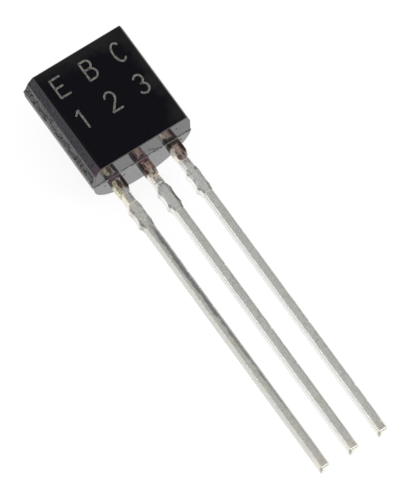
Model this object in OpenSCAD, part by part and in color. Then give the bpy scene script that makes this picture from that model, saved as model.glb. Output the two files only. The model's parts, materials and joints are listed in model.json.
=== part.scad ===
/* [Moulded body] */
// width across the parting plane, where the two mould halves meet
body_w = 4.4; // [4.3:0.05:4.8]
// height along the leads, at the parting plane
body_h = 4.67; // [4.5:0.01:5]
// width of the flat marking face
flat_w = 3.98; // [3.6:0.01:4.1]
// width where the front corner facet ends and the side wall begins
shoulder_w = 4.3; // [4.15:0.01:4.35]
// distance of that shoulder behind the flat face
shoulder_depth = 0.43; // [0.3:0.01:0.9]
// flat face to the parting plane
front_depth = 1.25; // [1.2:0.05:1.4]
// parting plane to the crown of the rounded back
back_depth = 2.25; // [2:0.05:2.3]
// draft of the top and bottom faces in front of the parting plane, in degrees
front_draft = 5; // [2:0.5:6]
// draft of the same faces behind the parting plane, in degrees
back_draft = 2; // [1:0.5:6]
// rounding round the flat face
face_edge_r = 0.07; // [0.03:0.01:0.12]

/* [Parting line and ejector mark] */
// how far the rounded back sits to the right, because the mould halves never match quite
mould_shift = 0.035; // [0:0.005:0.05]
// thickness of the thin flash left along the parting line
flash_t = 0.04; // [0.02:0.01:0.06]
// how far the flash stands off the side walls
flash_side = 0.035; // [0.01:0.005:0.05]
// how far the flash stands off the top and bottom faces
flash_end = 0.05; // [0.02:0.01:0.07]
// diameter of the ejector pin mark in the rounded back
ejector_d = 1.5; // [1:0.1:1.6]
// depth of the mark below the crown
ejector_depth = 0.18; // [0.16:0.01:0.3]
// height of the centre of the mark above the bottom of the body
ejector_z = 2.9; // [2:0.1:3.2]

/* [Leads outside the body] */
// distance between neighbouring leads
lead_pitch = 1.32; // [1.22:0.01:1.36]
// length below the body
lead_len = 13.8; // [12.5:0.1:15]
// width of the straight shank
lead_w = 0.4; // [0.36:0.01:0.46]
// thickness of the lead frame strip
lead_t = 0.38; // [0.34:0.01:0.42]
// rounding of the long edges of the shank
lead_edge_r = 0.08; // [0.04:0.01:0.1]
// how much further left than the shank a root reaches
root_left = 0.02; // [0.01:0.01:0.1]
// how much further right the root of an outer lead reaches
root_right = 0.09; // [0.02:0.01:0.12]
// how much further right the root of the base lead reaches
root_base = 0.03; // [0.01:0.01:0.1]
// distance below the body where the root starts to narrow
root_end = 0.55; // [0.3:0.05:0.7]
// length of that narrowing
root_taper = 0.25; // [0.1:0.05:0.4]
// bevel on the front edge of each cut tip
tip_bevel = 0.04; // [0.02:0.01:0.1]

/* [Dam bar stubs] */
// distance below the body where a stub starts to swell
stub_start = 1.3; // [1.2:0.05:1.6]
// length of the swelling slope
stub_rise = 0.2; // [0.15:0.01:0.4]
// distance below the body of the sheared lower corner
stub_end = 2.17; // [2:0.01:2.6]
// length of the hollow curve under that corner
stub_fall = 0.23; // [0.2:0.01:0.5]
// how far the stub on the left of each lead stands out
stub_left = 0.1; // [0.05:0.01:0.12]
// how far the stub on the right of the base lead stands out
stub_right = 0.06; // [0.03:0.01:0.1]
// how far the stub on the right of an outer lead stands out
stub_small = 0.03; // [0.02:0.01:0.06]
// waist of a stub between its two corners, as a share of its height
stub_waist = 0.55; // [0.1:0.05:0.7]

/* [Lead frame inside the body] */
// left edge of the die pad, measured from the middle of the body
pad_left = 0.6; // [0.4:0.05:0.65]
// bottom edge of the die pad above the bottom of the body
pad_z = 2.1; // [2:0.05:2.2]
// height of the die pad
pad_h = 1.85; // [1.5:0.05:1.9]
// diameter of the resin lock hole beside the chip
lock_hole_d = 0.5; // [0.3:0.05:0.6]
// centre of the lock hole, left of the right edge of the pad
lock_hole_inset = 0.45; // [0.35:0.05:0.6]
// width of the base post
base_post_w = 1.2; // [0.9:0.05:1.3]
// bottom of the base post above the bottom of the body
base_post_z = 0.85; // [0.7:0.05:0.95]
// height of the base post
base_post_h = 0.75; // [0.6:0.05:0.8]
// width of the emitter post
emitter_post_w = 0.78; // [0.6:0.02:0.8]
// right edge of the emitter post, right of the middle of its lead
emitter_post_right = 0.42; // [0.36:0.02:0.5]
// bottom of the emitter post above the bottom of the body
emitter_post_z = 1.75; // [1.5:0.05:1.9]
// height of the emitter post
emitter_post_h = 1.35; // [1.1:0.05:1.5]
// radius of the notch in the left edge of the emitter post
notch_r = 0.12; // [0.08:0.01:0.15]
// centre of the notch above the bottom of the post
notch_z = 0.54; // [0.4:0.02:0.7]
// bevel on the corners of the pad and posts
post_bevel = 0.15; // [0.05:0.01:0.2]

/* [Chip and bond wires] */
// side of the square chip
die_w = 0.62; // [0.4:0.02:0.8]
// thickness of the chip
die_t = 0.2; // [0.15:0.01:0.25]
// position of the chip across the body
die_x = 0.2; // [0:0.05:0.3]
// position of the chip above the bottom of the body
die_z = 2.95; // [2.8:0.05:3.1]
// thickness of the bonding layer under the chip
attach_t = 0.03; // [0.02:0.01:0.05]
// width of bonding layer seen round the chip
attach_margin = 0.05; // [0.03:0.01:0.1]
// radius of a bond wire
wire_r = 0.025; // [0.02:0.005:0.03]
// radius of the ball where a wire starts on the chip
ball_r = 0.06; // [0.05:0.005:0.07]
// height of that ball
ball_h = 0.05; // [0.04:0.005:0.06]
// thickness of the flattened end pressed on to a post
crescent_t = 0.03; // [0.02:0.005:0.04]
// loop radius of a wire as a share of its span
loop_ratio = 0.6; // [0.56:0.01:0.8]

/* [Hidden] */
$fn = 96;
// extra length that carries a cut clear of a face
over = 0.5;
// straight steps that stand for the rounding at each end of the flat face
edge_steps = 4;
// length of wire sunk into the ball and below the landing
wire_tuck = 0.03;

body_depth = front_depth + back_depth;
back_r = arc_r(back_depth, body_w / 2);
front_drop = front_depth * tan(front_draft);
back_drop = back_depth * tan(back_draft);

// the strip lies just behind the parting plane
lead_front = front_depth;
lead_back = front_depth + lead_t;
half_w = lead_w / 2;
emitter_x = -lead_pitch;
collector_x = lead_pitch;
pad_right = collector_x + half_w + root_right;

// at rest the bottom edge of the crown and the three tips touch the floor
rest_tilt = atan((body_depth - lead_back) / (lead_len + back_drop));
rest_drop = body_depth * cos(rest_tilt) - back_drop * sin(rest_tilt);
reach_back = (body_h - back_drop) * cos(rest_tilt) + body_depth * sin(rest_tilt);
reach_front = lead_len * cos(rest_tilt) - lead_front * sin(rest_tilt);
rest_y = (reach_front - reach_back) / 2;

// bond points on the chip and on the posts, across and up
emitter_pad = [die_x, die_z] + [-0.12, 0.11];
base_pad = [die_x, die_z] + [-0.03, -0.15];
emitter_land = [emitter_x, emitter_post_z + emitter_post_h / 2] + [0.25, 0.07];
base_land = [0, base_post_z + base_post_h / 2] + [0.08, 0.04];

// radius of an arc with the given height over the given half chord
function arc_r(rise, half_chord) = (rise * rise + half_chord * half_chord) / (2 * rise);

// turns a piece drawn upright, flat face at y = 0, into its resting position
module at_rest() {
  translate([0, rest_y, rest_drop])
    rotate([rest_tilt - 90, 0, 0])
      children();
}

// extrudes an outline drawn as seen from the flat face back through the strip
module through_strip(y0, y1) {
  translate([0, y1, 0])
    rotate([90, 0, 0])
      linear_extrude(height = y1 - y0)
        children();
}

// points of the rounding of radius r at the corner p between points a and b
function round_points(a, p, b, r, steps) =
  let (
    u = (a - p) / norm(a - p),
    v = (b - p) / norm(b - p),
    mid = (u + v) / norm(u + v),
    half = acos(u * v) / 2,
    centre = p + mid * r / sin(half),
    first = p + u * r / tan(half) - centre,
    turn = (u[0] * v[1] - u[1] * v[0] > 0 ? -1 : 1) * (180 - 2 * half)
  )
  [
    for (i = [0:steps])
      let (t = turn * i / steps)
        centre + [
          first[0] * cos(t) - first[1] * sin(t),
          first[0] * sin(t) + first[1] * cos(t)
        ]
  ];

// what a true rounding of radius r takes off the corner p between a and b
module corner_off(a, p, b, r) {
  u = (a - p) / norm(a - p);
  v = (b - p) / norm(b - p);
  half = acos(u * v) / 2;
  mid = (u + v) / norm(u + v);
  run = r / tan(half);
  centre = p + mid * r / sin(half);
  difference() {
    polygon([p, p + u * run, centre, p + v * run]);
    translate(centre) circle(r = r);
  }
}

// body seen from the end: flat, corner facets, side walls, round back
module plan_outline() {
  left_face = [-flat_w / 2, 0];
  right_face = [flat_w / 2, 0];
  left_shoulder = [-shoulder_w / 2, shoulder_depth];
  right_shoulder = [shoulder_w / 2, shoulder_depth];
  difference() {
    polygon([
      left_face, right_face, right_shoulder,
      [body_w / 2, front_depth], [-body_w / 2, front_depth], left_shoulder
    ]);
    corner_off(left_shoulder, left_face, right_face, face_edge_r);
    corner_off(left_face, right_face, right_shoulder, face_edge_r);
  }
  translate([mould_shift, 0])
    intersection() {
      translate([0, body_depth - back_r]) circle(r = back_r);
      translate([-body_w / 2, front_depth]) square([body_w, back_depth + over]);
    }
}

// body seen from the side: both ends drafted away from the parting plane
module side_outline() {
  low_face = [0, front_drop];
  high_face = [0, body_h - front_drop];
  low_part = [front_depth, 0];
  high_part = [front_depth, body_h];
  polygon(concat(
    [
      low_part, [body_depth, back_drop],
      [body_depth, body_h - back_drop], high_part
    ],
    round_points(high_part, high_face, low_face, face_edge_r, edge_steps),
    round_points(high_face, low_face, low_part, face_edge_r, edge_steps)
  ));
}

module moulding() {
  difference() {
    intersection() {
      linear_extrude(height = body_h) plan_outline();
      translate([-body_w / 2 - over, 0, 0])
        rotate([90, 0, 90])
          linear_extrude(height = body_w + mould_shift + 2 * over)
            side_outline();
    }
    // flat-bottomed mark of the ejector pin
    translate([mould_shift, body_depth + over, ejector_z])
      rotate([90, 0, 0])
        cylinder(h = over + ejector_depth, r = ejector_d / 2);
  }
  // flash left where the mould halves met
  translate([-body_w / 2 - flash_side, front_depth - flash_t / 2, -flash_end])
    cube([body_w + 2 * flash_side, flash_t, body_h + 2 * flash_end]);
}

// cross-section of the shank, long edges rounded by the plating
module shank_section() {
  r = lead_edge_r;
  translate([-half_w + r, lead_front]) square([lead_w - 2 * r, lead_t]);
  translate([-half_w, lead_front + r]) square([lead_w, lead_t - 2 * r]);
  for (x = [-half_w + r, half_w - r])
    for (y = [lead_front + r, lead_back - r])
      translate([x, y]) circle(r = r);
}

// one side of the dam bar left by the trimming punch, side = -1 or 1
module stub_outline(side, proud) {
  top = stub_start + stub_rise;
  foot = stub_end + stub_fall;
  hollow_r = arc_r(proud, stub_fall);
  waist_r = arc_r(proud * stub_waist, (stub_end - top) / 2);
  mirror([side < 0 ? 1 : 0, 0])
    difference() {
      polygon([
        [0, -stub_start], [half_w, -stub_start], [half_w + proud, -top],
        [half_w + proud, -stub_end], [half_w, -foot], [0, -foot]
      ]);
      // hollow under the lower corner, tangent to the shank
      translate([half_w + hollow_r, -foot]) circle(r = hollow_r);
      translate([half_w + proud * (1 - stub_waist) + waist_r, -(top + stub_end) / 2])
        circle(r = waist_r);
    }
}

// wide start of a lead, from top inside the body down to the shank
module root_outline(left, right, top) {
  low = -root_end - root_taper;
  polygon([
    [-half_w - left, top], [-half_w - left, -root_end], [-half_w, low],
    [half_w, low], [half_w + right, -root_end], [half_w + right, top]
  ]);
}

// shank with its stubs and bevelled tip
module outer_lead(left_proud, right_proud) {
  difference() {
    union() {
      translate([0, 0, -lead_len])
        linear_extrude(height = lead_len)
          shank_section();
      through_strip(lead_front, lead_back) {
        stub_outline(-1, left_proud);
        stub_outline(1, right_proud);
      }
    }
    translate([-lead_w, lead_front - tip_bevel, -lead_len - tip_bevel])
      rotate([45, 0, 0])
        cube([2 * lead_w, 2 * tip_bevel * cos(45), 2 * tip_bevel * cos(45)]);
  }
}

// a rectangle with its four corners bevelled
module plate_outline(x0, x1, z0, z1) {
  c = post_bevel;
  polygon([
    [x0 + c, z0], [x1 - c, z0], [x1, z0 + c], [x1, z1 - c],
    [x1 - c, z1], [x0 + c, z1], [x0, z1 - c], [x0, z0 + c]
  ]);
}

module emitter_shape() {
  right = emitter_post_right;
  left = right - emitter_post_w;
  translate([emitter_x, 0, 0]) {
    outer_lead(stub_left, stub_small);
    through_strip(lead_front, lead_back)
      difference() {
        union() {
          root_outline(root_left, root_right, emitter_post_z + post_bevel);
          plate_outline(left, right, emitter_post_z, emitter_post_z + emitter_post_h);
        }
        // notch that the resin grips
        translate([left, emitter_post_z + notch_z]) circle(r = notch_r);
      }
  }
}

module base_shape() {
  outer_lead(stub_left, stub_right);
  through_strip(lead_front, lead_back) {
    root_outline(root_left, root_base, base_post_z + post_bevel);
    plate_outline(-base_post_w / 2, base_post_w / 2, base_post_z, base_post_z + base_post_h);
  }
}

module collector_shape() {
  translate([collector_x, 0, 0]) outer_lead(stub_left, stub_small);
  through_strip(lead_front, lead_back)
    difference() {
      union() {
        translate([collector_x, 0])
          root_outline(root_left, root_right, pad_z + 2 * post_bevel);
        plate_outline(-pad_left, pad_right, pad_z, pad_z + pad_h);
      }
      translate([pad_right - lock_hole_inset, pad_z + pad_h - lock_hole_d])
        circle(r = lock_hole_d / 2);
    }
}

module chip_block(margin, y0, y1) {
  side = die_w + 2 * margin;
  translate([die_x - side / 2, y0, die_z - side / 2])
    cube([side, y1 - y0, side]);
}

module die_shape() {
  chip_block(0, lead_front - attach_t - die_t, lead_front - attach_t);
}

module attach_shape() {
  chip_block(attach_margin, lead_front - attach_t, lead_front);
}

// wire from point p on the chip to point q on a post, an arc in one plane
module wire_shape(p, q) {
  step = q - p;
  span = norm(step);
  rise = attach_t + die_t;
  top = rise + ball_h;
  chord = norm([span, top]);
  r = loop_ratio * chord;
  back = sqrt(r * r - chord * chord / 4);
  cu = span / 2 - back * top / chord;
  cv = top / 2 - back * span / chord;
  start = atan2(top - cv, -cu);
  finish = atan2(-cv, span - cu);
  // the arc runs a little way into the ball and past the landing
  extra = wire_tuck / r * 180 / PI;
  translate([p[0], lead_front, p[1]])
    rotate([180, -atan2(step[1], step[0]), 0]) {
      translate([0, rise, 0])
        rotate([-90, 0, 0])
          cylinder(h = ball_h, r = ball_r);
      difference() {
        translate([cu, cv, 0])
          rotate([0, 0, finish - extra])
            rotate_extrude(angle = start - finish + 2 * extra)
              translate([r, 0])
                circle(r = wire_r);
        translate([span - over, -over, -over / 2]) cube([2 * over, over, over]);
      }
      // crescent where the wire is pressed on to the post
      translate([span, 0, 0])
        rotate([-90, 0, 0])
          cylinder(h = crescent_t, r = ball_r);
    }
}

module body() {
  color([0.08, 0.08, 0.09])
    at_rest()
      difference() {
        moulding();
        emitter_shape();
        base_shape();
        collector_shape();
        die_shape();
        attach_shape();
        wire_shape(emitter_pad, emitter_land);
        wire_shape(base_pad, base_land);
      }
}

module emitter_lead() {
  color([0.67, 0.66, 0.63]) at_rest() emitter_shape();
}

module base_lead() {
  color([0.67, 0.66, 0.63]) at_rest() base_shape();
}

module collector_lead() {
  color([0.67, 0.66, 0.63]) at_rest() collector_shape();
}

module die() {
  color([0.36, 0.38, 0.42]) at_rest() die_shape();
}

module die_attach() {
  color([0.62, 0.6, 0.56]) at_rest() attach_shape();
}

module emitter_wire() {
  color([0.85, 0.66, 0.28]) at_rest() wire_shape(emitter_pad, emitter_land);
}

module base_wire() {
  color([0.85, 0.66, 0.28]) at_rest() wire_shape(base_pad, base_land);
}

body();
emitter_lead();
base_lead();
collector_lead();
die();
die_attach();
emitter_wire();
base_wire();
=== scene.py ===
import json
import math

import bpy
import numpy as np
from mathutils import Matrix


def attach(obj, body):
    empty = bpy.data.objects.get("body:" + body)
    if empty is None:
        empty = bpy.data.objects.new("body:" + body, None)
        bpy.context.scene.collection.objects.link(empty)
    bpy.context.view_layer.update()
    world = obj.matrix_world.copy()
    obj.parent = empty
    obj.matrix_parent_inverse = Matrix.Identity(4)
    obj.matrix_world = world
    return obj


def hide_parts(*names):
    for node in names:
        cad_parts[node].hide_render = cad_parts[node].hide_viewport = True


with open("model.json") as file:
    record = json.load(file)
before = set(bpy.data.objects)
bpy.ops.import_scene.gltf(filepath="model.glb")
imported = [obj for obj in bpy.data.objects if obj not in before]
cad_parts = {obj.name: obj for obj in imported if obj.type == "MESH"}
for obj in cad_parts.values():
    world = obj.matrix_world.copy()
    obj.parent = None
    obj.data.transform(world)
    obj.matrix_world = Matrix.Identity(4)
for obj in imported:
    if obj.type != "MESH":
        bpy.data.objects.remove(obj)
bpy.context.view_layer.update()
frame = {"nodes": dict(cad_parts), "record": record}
nodes = frame["nodes"]
mm = 0.001
print("frame loaded:", ", ".join(sorted(nodes)))

# the part's own axes: x across the leads, y from the flat face to the back, z up the body
bodySize = {
    "width": 4.4,            # at the parting plane
    "mouldShift": 0.035,     # of the rounded back to the right of the front half
    "shiftOver": 0.01,       # depth over which that shift comes in
    "height": 4.67,          # at the parting plane
    "flatWidth": 3.98,
    "shoulderWidth": 4.3,
    "shoulderDepth": 0.43,
    "frontDepth": 1.25,      # flat face to parting plane
    "backDepth": 2.25,       # parting plane to crown
    "frontDraft": math.radians(4.6),
    "backDraft": math.radians(2),
    "faceRounding": 0.07,
    "shoulderRounding": 0.12,
    "endRounding": 0.02,
    "topRounding": 0.05,
    "crownRounding": 0.006,
    "markRadius": 0.75,      # ejector mark
    "markDepth": 0.18,
    "markHeight": 2.9,
    "markWindow": 1.25,      # half side of the patch of grid that the mark replaces, in mark radii
}
leadSize = {
    "width": 0.4,
    "thickness": 0.38,
    "length": 13.8,
    "pitch": 1.32,
    "edgeRounding": 0.08,
    "shearRounding": 0.014,
    "rootLeft": 0.02,
    "rootRight": 0.09,       # outer leads
    "rootBase": 0.03,        # right side of the base lead
    "rootEnd": 0.55,
    "rootTaper": 0.25,
    "stubStart": 1.3,
    "stubRise": 0.2,
    "stubEnd": 2.17,
    "stubFall": 0.23,
    "stubLeft": 0.1,
    "stubRight": 0.06,       # base lead
    "stubSmall": 0.03,       # outer leads
    "stubWaist": 0.55,
    "tipBevel": 0.04,
}

mounts = {m["name"]: m for m in frame["record"]["mounts"]}
acrossAxis = np.array((1.0, 0.0, 0.0))
backAxis = -np.array(mounts["flat_front"]["axis"])
upAxis = -np.array(mounts["lead_row"]["axis"])
stripFront = bodySize["frontDepth"]
stripBack = stripFront + leadSize["thickness"]
partOrigin = np.array(mounts["lead_row"]["pos_m"]) - backAxis * (stripFront + stripBack) / 2 * mm
partTurn = Matrix(np.array([acrossAxis, backAxis, upAxis]).tolist())

# signs of the four corners of a section, in turning order
quadrants = ((1, 1), (-1, 1), (-1, -1), (1, -1))


def placed(x, y, z):
    # point = origin + x across + y back + z up, millimetres in, metres out
    x, y, z = np.broadcast_arrays(x, y, z)
    return partOrigin + mm * (x[..., None] * acrossAxis + y[..., None] * backAxis + z[..., None] * upAxis)


def smoothStep(t):
    # 3t^2 - 2t^3, held at 0 and 1 outside that range
    t = np.clip(t, 0.0, 1.0)
    return t * t * (3 - 2 * t)


def softNoise(t, seed, waves=7):
    # a sum of sines of growing frequency with seeded phases, about -1 to 1
    rng = np.random.default_rng(seed)
    phase = rng.uniform(0, 2 * math.pi, waves)
    rate = 1.63 ** np.arange(waves) * rng.uniform(0.9, 1.1, waves)
    size = 0.8 ** np.arange(waves)
    return (np.sin(t[..., None] * rate + phase) * size).sum(-1) / size.sum() * 1.8


def stripFaces(loops):
    # quads between neighbouring rows of an index grid whose rows close on themselves
    nextLoops = np.roll(loops, -1, axis=1)
    return np.stack([loops[:-1], nextLoops[:-1], nextLoops[1:], loops[1:]], -1).reshape(-1, 4)


def fanFaces(loop, pole):
    return np.stack([loop, np.roll(loop, -1), np.full(len(loop), pole)], -1)


def facingOut(points, quads, triangles):
    # six times the enclosed volume is negative when the faces point inwards
    a, b, c = (points[quads[:, k]] - points[0] for k in range(3))
    if (np.cross(a, b) * c).sum() < 0:
        quads, triangles = quads[:, ::-1], triangles[:, ::-1]
    return points, quads, triangles


def tubeSurface(rings, firstPole, lastPole):
    # rings[i, j] is point j of ring i; fans close the two ends
    count = rings.shape[0] * rings.shape[1]
    loops = np.arange(count).reshape(rings.shape[:2])
    points = np.concatenate([rings.reshape(-1, 3), [firstPole], [lastPole]])
    triangles = np.concatenate([fanFaces(loops[0][::-1], count), fanFaces(loops[-1], count + 1)])
    return facingOut(points, stripFaces(loops), triangles)


def ringSurface(rings):
    # the last ring joins the first
    loops = np.arange(rings.shape[0] * rings.shape[1]).reshape(rings.shape[:2])
    quads = stripFaces(np.concatenate([loops, loops[:1]]))
    return facingOut(rings.reshape(-1, 3), quads, np.zeros((0, 3), int))


def addObject(name, data):
    made = bpy.data.objects.new(name, data)
    bpy.context.scene.collection.objects.link(made)
    return made


def makePiece(name, surfaces, material):
    points, faces, start = [], [], 0
    for surfacePoints, quads, triangles in surfaces:
        points.append(surfacePoints)
        faces += (quads + start).tolist() + (triangles + start).tolist()
        start += len(surfacePoints)
    mesh = bpy.data.meshes.new(name)
    mesh.from_pydata(np.concatenate(points).tolist(), [], faces)
    mesh.polygons.foreach_set("use_smooth", np.ones(len(mesh.polygons), bool))
    mesh.materials.append(material)
    mesh.update()
    piece = addObject(name, mesh)
    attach(piece, "root")
    print(name, "made,", len(mesh.polygons), "faces")
    return piece


def newMaterial(name):
    material = bpy.data.materials.new(name)
    material.use_nodes = True
    tree = material.node_tree
    return material, tree, tree.nodes["Principled BSDF"]


def addNode(kind, inputs, tree=None, **settings):
    # the node joins the tree that its input sockets belong to, where none is given
    linked = {key: value for key, value in inputs.items() if isinstance(value, bpy.types.NodeSocket)}
    tree = tree or next(iter(linked.values())).id_data
    node = tree.nodes.new(kind)
    for key, value in settings.items():
        setattr(node, key, value)
    for key, value in inputs.items():
        if key in linked:
            tree.links.new(value, node.inputs[key])
        else:
            node.inputs[key].default_value = value
    return node


def partCoordinates(tree):
    # the part's own upright axes in millimetres, whatever way the part lies
    coordinates = addNode("ShaderNodeTexCoord", {}, tree)
    return addNode("ShaderNodeMapping", {
        "Vector": coordinates.outputs["Object"], "Scale": (1 / mm,) * 3,
        "Rotation": partTurn.to_euler(),
        "Location": -np.array(partTurn) @ partOrigin / mm}).outputs["Vector"]


def axesOf(vector):
    split = addNode("ShaderNodeSeparateXYZ", {"Vector": vector})
    return split.outputs["X"], split.outputs["Y"], split.outputs["Z"]


def noiseOf(vector, scale, detail=3.0, roughness=0.55, output="Fac"):
    # a look gives the scale per mm, the detail and the roughness
    return addNode("ShaderNodeTexNoise", {
        "Vector": vector, "Scale": scale, "Detail": detail, "Roughness": roughness}).outputs[output]


def stretched(vector, scale, location=(0.0, 0.0, 0.0)):
    return addNode("ShaderNodeMapping", {
        "Vector": vector, "Scale": scale, "Location": location}).outputs["Vector"]


def vectorMathOf(operation, inputs, output="Vector"):
    return addNode("ShaderNodeVectorMath", inputs, operation=operation).outputs[output]


def wobbled(vector, scale, reach):
    # the coordinates pushed about by noise, so that edges drawn with them are uneven
    noise = noiseOf(vector, scale, 3.0, 0.6, "Color")
    push = vectorMathOf("SUBTRACT", {0: noise, 1: (0.5, 0.5, 0.5)})
    push = vectorMathOf("SCALE", {0: push, 3: reach})
    return vectorMathOf("ADD", {0: vector, 1: push})


def rangeOf(value, low, high, toLow=0.0, toHigh=1.0):
    # an eased step: the looks give where it starts and ends, and its two levels where they aren't 0 and 1
    return addNode("ShaderNodeMapRange", {
        "Value": value, "From Min": low, "From Max": high, "To Min": toLow, "To Max": toHigh},
        interpolation_type="SMOOTHSTEP").outputs["Result"]


def patchesOf(vector, noise, limits):
    return rangeOf(noiseOf(vector, *noise), *limits)


def mathOf(operation, a, b):
    return addNode("ShaderNodeMath", {0: a, 1: b}, operation=operation).outputs[0]


def plusOf(a, b):
    return mathOf("ADD", a, b)


def minusOf(a, b):
    return mathOf("SUBTRACT", a, b)


def timesOf(a, b):
    return mathOf("MULTIPLY", a, b)


def largerOf(a, b):
    return mathOf("MAXIMUM", a, b)


def mixOf(factor, a, b):
    a, b = ((*tone, 1.0) if isinstance(tone, tuple) else tone for tone in (a, b))
    return addNode("ShaderNodeMix", {0: factor, 6: a, 7: b}, data_type="RGBA").outputs[2]


def layered(color, *layers):
    # each layer, a mask and a colour, covers the ones before it
    for mask, tone in layers:
        color = mixOf(mask, color, tone)
    return color


def bumpOf(height, strength, distance, normal=None):
    # the looks give the strength and the depth
    inputs = {"Height": height, "Strength": strength, "Distance": distance}
    if normal is not None:
        inputs["Normal"] = normal
    return addNode("ShaderNodeBump", inputs).outputs["Normal"]


def spotOf(vector, plane, centre, half, soft=0.5):
    # 1 inside an ellipse drawn in the x-z or x-y plane, falling to 0 across its soft rim
    second = 2 if plane == "xz" else 1
    scale, location = [0.0] * 3, [0.0] * 3
    for axis, middle, reach in ((0, centre[0], half[0]), (second, centre[1], half[1])):
        scale[axis], location[axis] = 1 / reach, -middle / reach
    across = stretched(vector, scale, location)
    away = vectorMathOf("LENGTH", {0: across}, "Value")
    return rangeOf(away, 1 + soft, 1 - soft)


def withSpots(color, vector, plane, spots):
    # each spot: centre, half size, colour, strength, and the softness of its rim where that isn't 0.5
    for centre, half, tone, strength, *soft in spots:
        mask = timesOf(spotOf(vector, plane, centre, half, *soft), strength)
        color = mixOf(mask, color, tone)
    return color


def connect(shader, sockets):
    for name, value in sockets.items():
        shader.id_data.links.new(value, shader.inputs[name])


def greyOf(level):
    return (level, level, level)


# black moulding compound
epoxyLook = {
    "black": (0.0026, 0.0023, 0.0045),
    "charcoal": (0.0135, 0.0125, 0.0130),
    "facet": (0.0100, 0.0093, 0.0175),
    "wall": (0.012, 0.0105, 0.0115),
    "rust": (0.055, 0.030, 0.030),
    "end": (0.016, 0.0155, 0.019),
    "corner": (0.035, 0.010, 0.024),
    "dust": (0.09, 0.088, 0.085),
    "faceRoughness": 0.16,
    "wallRoughness": 0.32,
    "endRoughness": 0.05,
    "specular": 0.5,
    "facetSpecular": 0.245,
    "wallSpecular": 0.325,
    "spotDulling": 0.75,
    "ior": 1.54,
    # noise, and the range that makes it patches
    "clouds": ((1.3, 3.0), (0.3, 0.7, -0.25, 0.25)),
    "sway": ((3.1, 2.0), (0.3, 0.7, -0.22, 0.22)),
    "rustPatches": ((2.9, 3.0), (0.5, 0.68, 0.0, 0.9)),
    "mottle": ((6.4, 4.0, 0.7), (0.34, 0.66, 0.44, 0.62)),
    "endPatches": ((8.0, 4.0, 0.7), (0.36, 0.64, -0.06, 0.24)),
    "scuffs": ((12.0, 2.0, 0.6), (0.4, 0.6, 0.0, 0.6)),
    "specks": ((13.0, 1.0, 0.4), (0.72, 0.78, 0.0, 0.5)),
    # noise, ranges of it and its bumps
    "ripple": (7.0, 2.0),
    "rippleBump": (0.25, 0.005 * mm),
    "grain": (24.0, 4.0, 0.65),
    "grainBump": (0.22, 0.003 * mm),
    "grainPale": (0.45, 0.7, 0.0, 0.3),
    "grainRoughness": (0.3, 0.7, -0.02, 0.05),
    "wobble": (9.0, 0.12),       # scale per mm and reach in mm
    # where a mask starts and where it is full, in mm
    # painted sheen along the flat face's top, right and left edges
    "sheenTop": (3.75, 4.6),
    "sheenRight": (1.35, 2.1),
    "sheenLeft": (-1.75, -2.05, 0.0, 0.4),
    "facetDepth": (0.015, 0.06),
    "wallDepth": (0.38, 0.47),
    "bandStart": (0.42, 0.85),
    "bandEnd": (1.34, 0.92),
    "lowerHeight": (0.135, 0.105),
    "lowerDepth": (0.05, 0.085),
    "dullBehind": (1.22, 1.28, 0.0, 0.24),
    "cornerDepth": (1.0, 0.3),
    "cornerSpot": ((-2.07, 0.2), (0.13, 0.22), 0.35),
    # stains of the lower end face, centre (x, y)
    "endSpots": (
        ((-1.65, 1.74), (0.025, 0.09), (0.004, 0.006, 0.007), 0.9),
        ((-1.02, 1.42), (0.07, 0.14), (0.01, 0.006, 0.007), 0.7, 0.6),
        ((-0.77, 1.86), (0.05, 0.14), (0.003, 0.003, 0.003), 0.85),
        ((-0.85, 1.16), (0.16, 0.05), (0.006, 0.004, 0.006), 0.6, 0.6),
        ((0.28, 0.8), (0.1, 0.07), (0.004, 0.004, 0.004), 0.8),
        ((0.46, 0.94), (0.1, 0.06), (0.004, 0.004, 0.004), 0.9),
        ((0.64, 1.09), (0.11, 0.06), (0.004, 0.004, 0.004), 0.9),
        ((0.75, 1.42), (0.04, 0.16), (0.004, 0.004, 0.004), 0.55),
        ((0.24, 1.6), (0.07, 0.1), (0.004, 0.004, 0.004), 0.6, 0.6),
        ((1.22, 1.62), (0.06, 0.1), (0.003, 0.002, 0.004), 0.9),
        ((1.8, 1.75), (0.07, 0.16), (0.004, 0.003, 0.003), 0.7, 0.6),
        ((1.53, 0.45), (0.045, 0.1), (0.003, 0.003, 0.003), 0.95),
        ((1.35, 1.08), (0.3, 0.1), (0.003, 0.003, 0.003), 0.85),
        ((-1.75, 1.06), (0.1, 0.14), (0.004, 0.004, 0.003), 0.6, 0.6),
    ),
}


def epoxyShares(vector, y, z):
    # masks of the facets, the side walls, the lower end face and the worn band along each side wall
    look = epoxyLook
    facet = rangeOf(y, *look["facetDepth"])
    wall = rangeOf(y, *look["wallDepth"])
    lower = timesOf(rangeOf(z, *look["lowerHeight"]), rangeOf(y, *look["lowerDepth"]))
    depth = plusOf(y, patchesOf(vector, *look["sway"]))
    band = timesOf(rangeOf(depth, *look["bandStart"]), rangeOf(depth, *look["bandEnd"]))
    band = timesOf(band, timesOf(wall, minusOf(1.0, lower)))
    return facet, wall, lower, band


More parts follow.
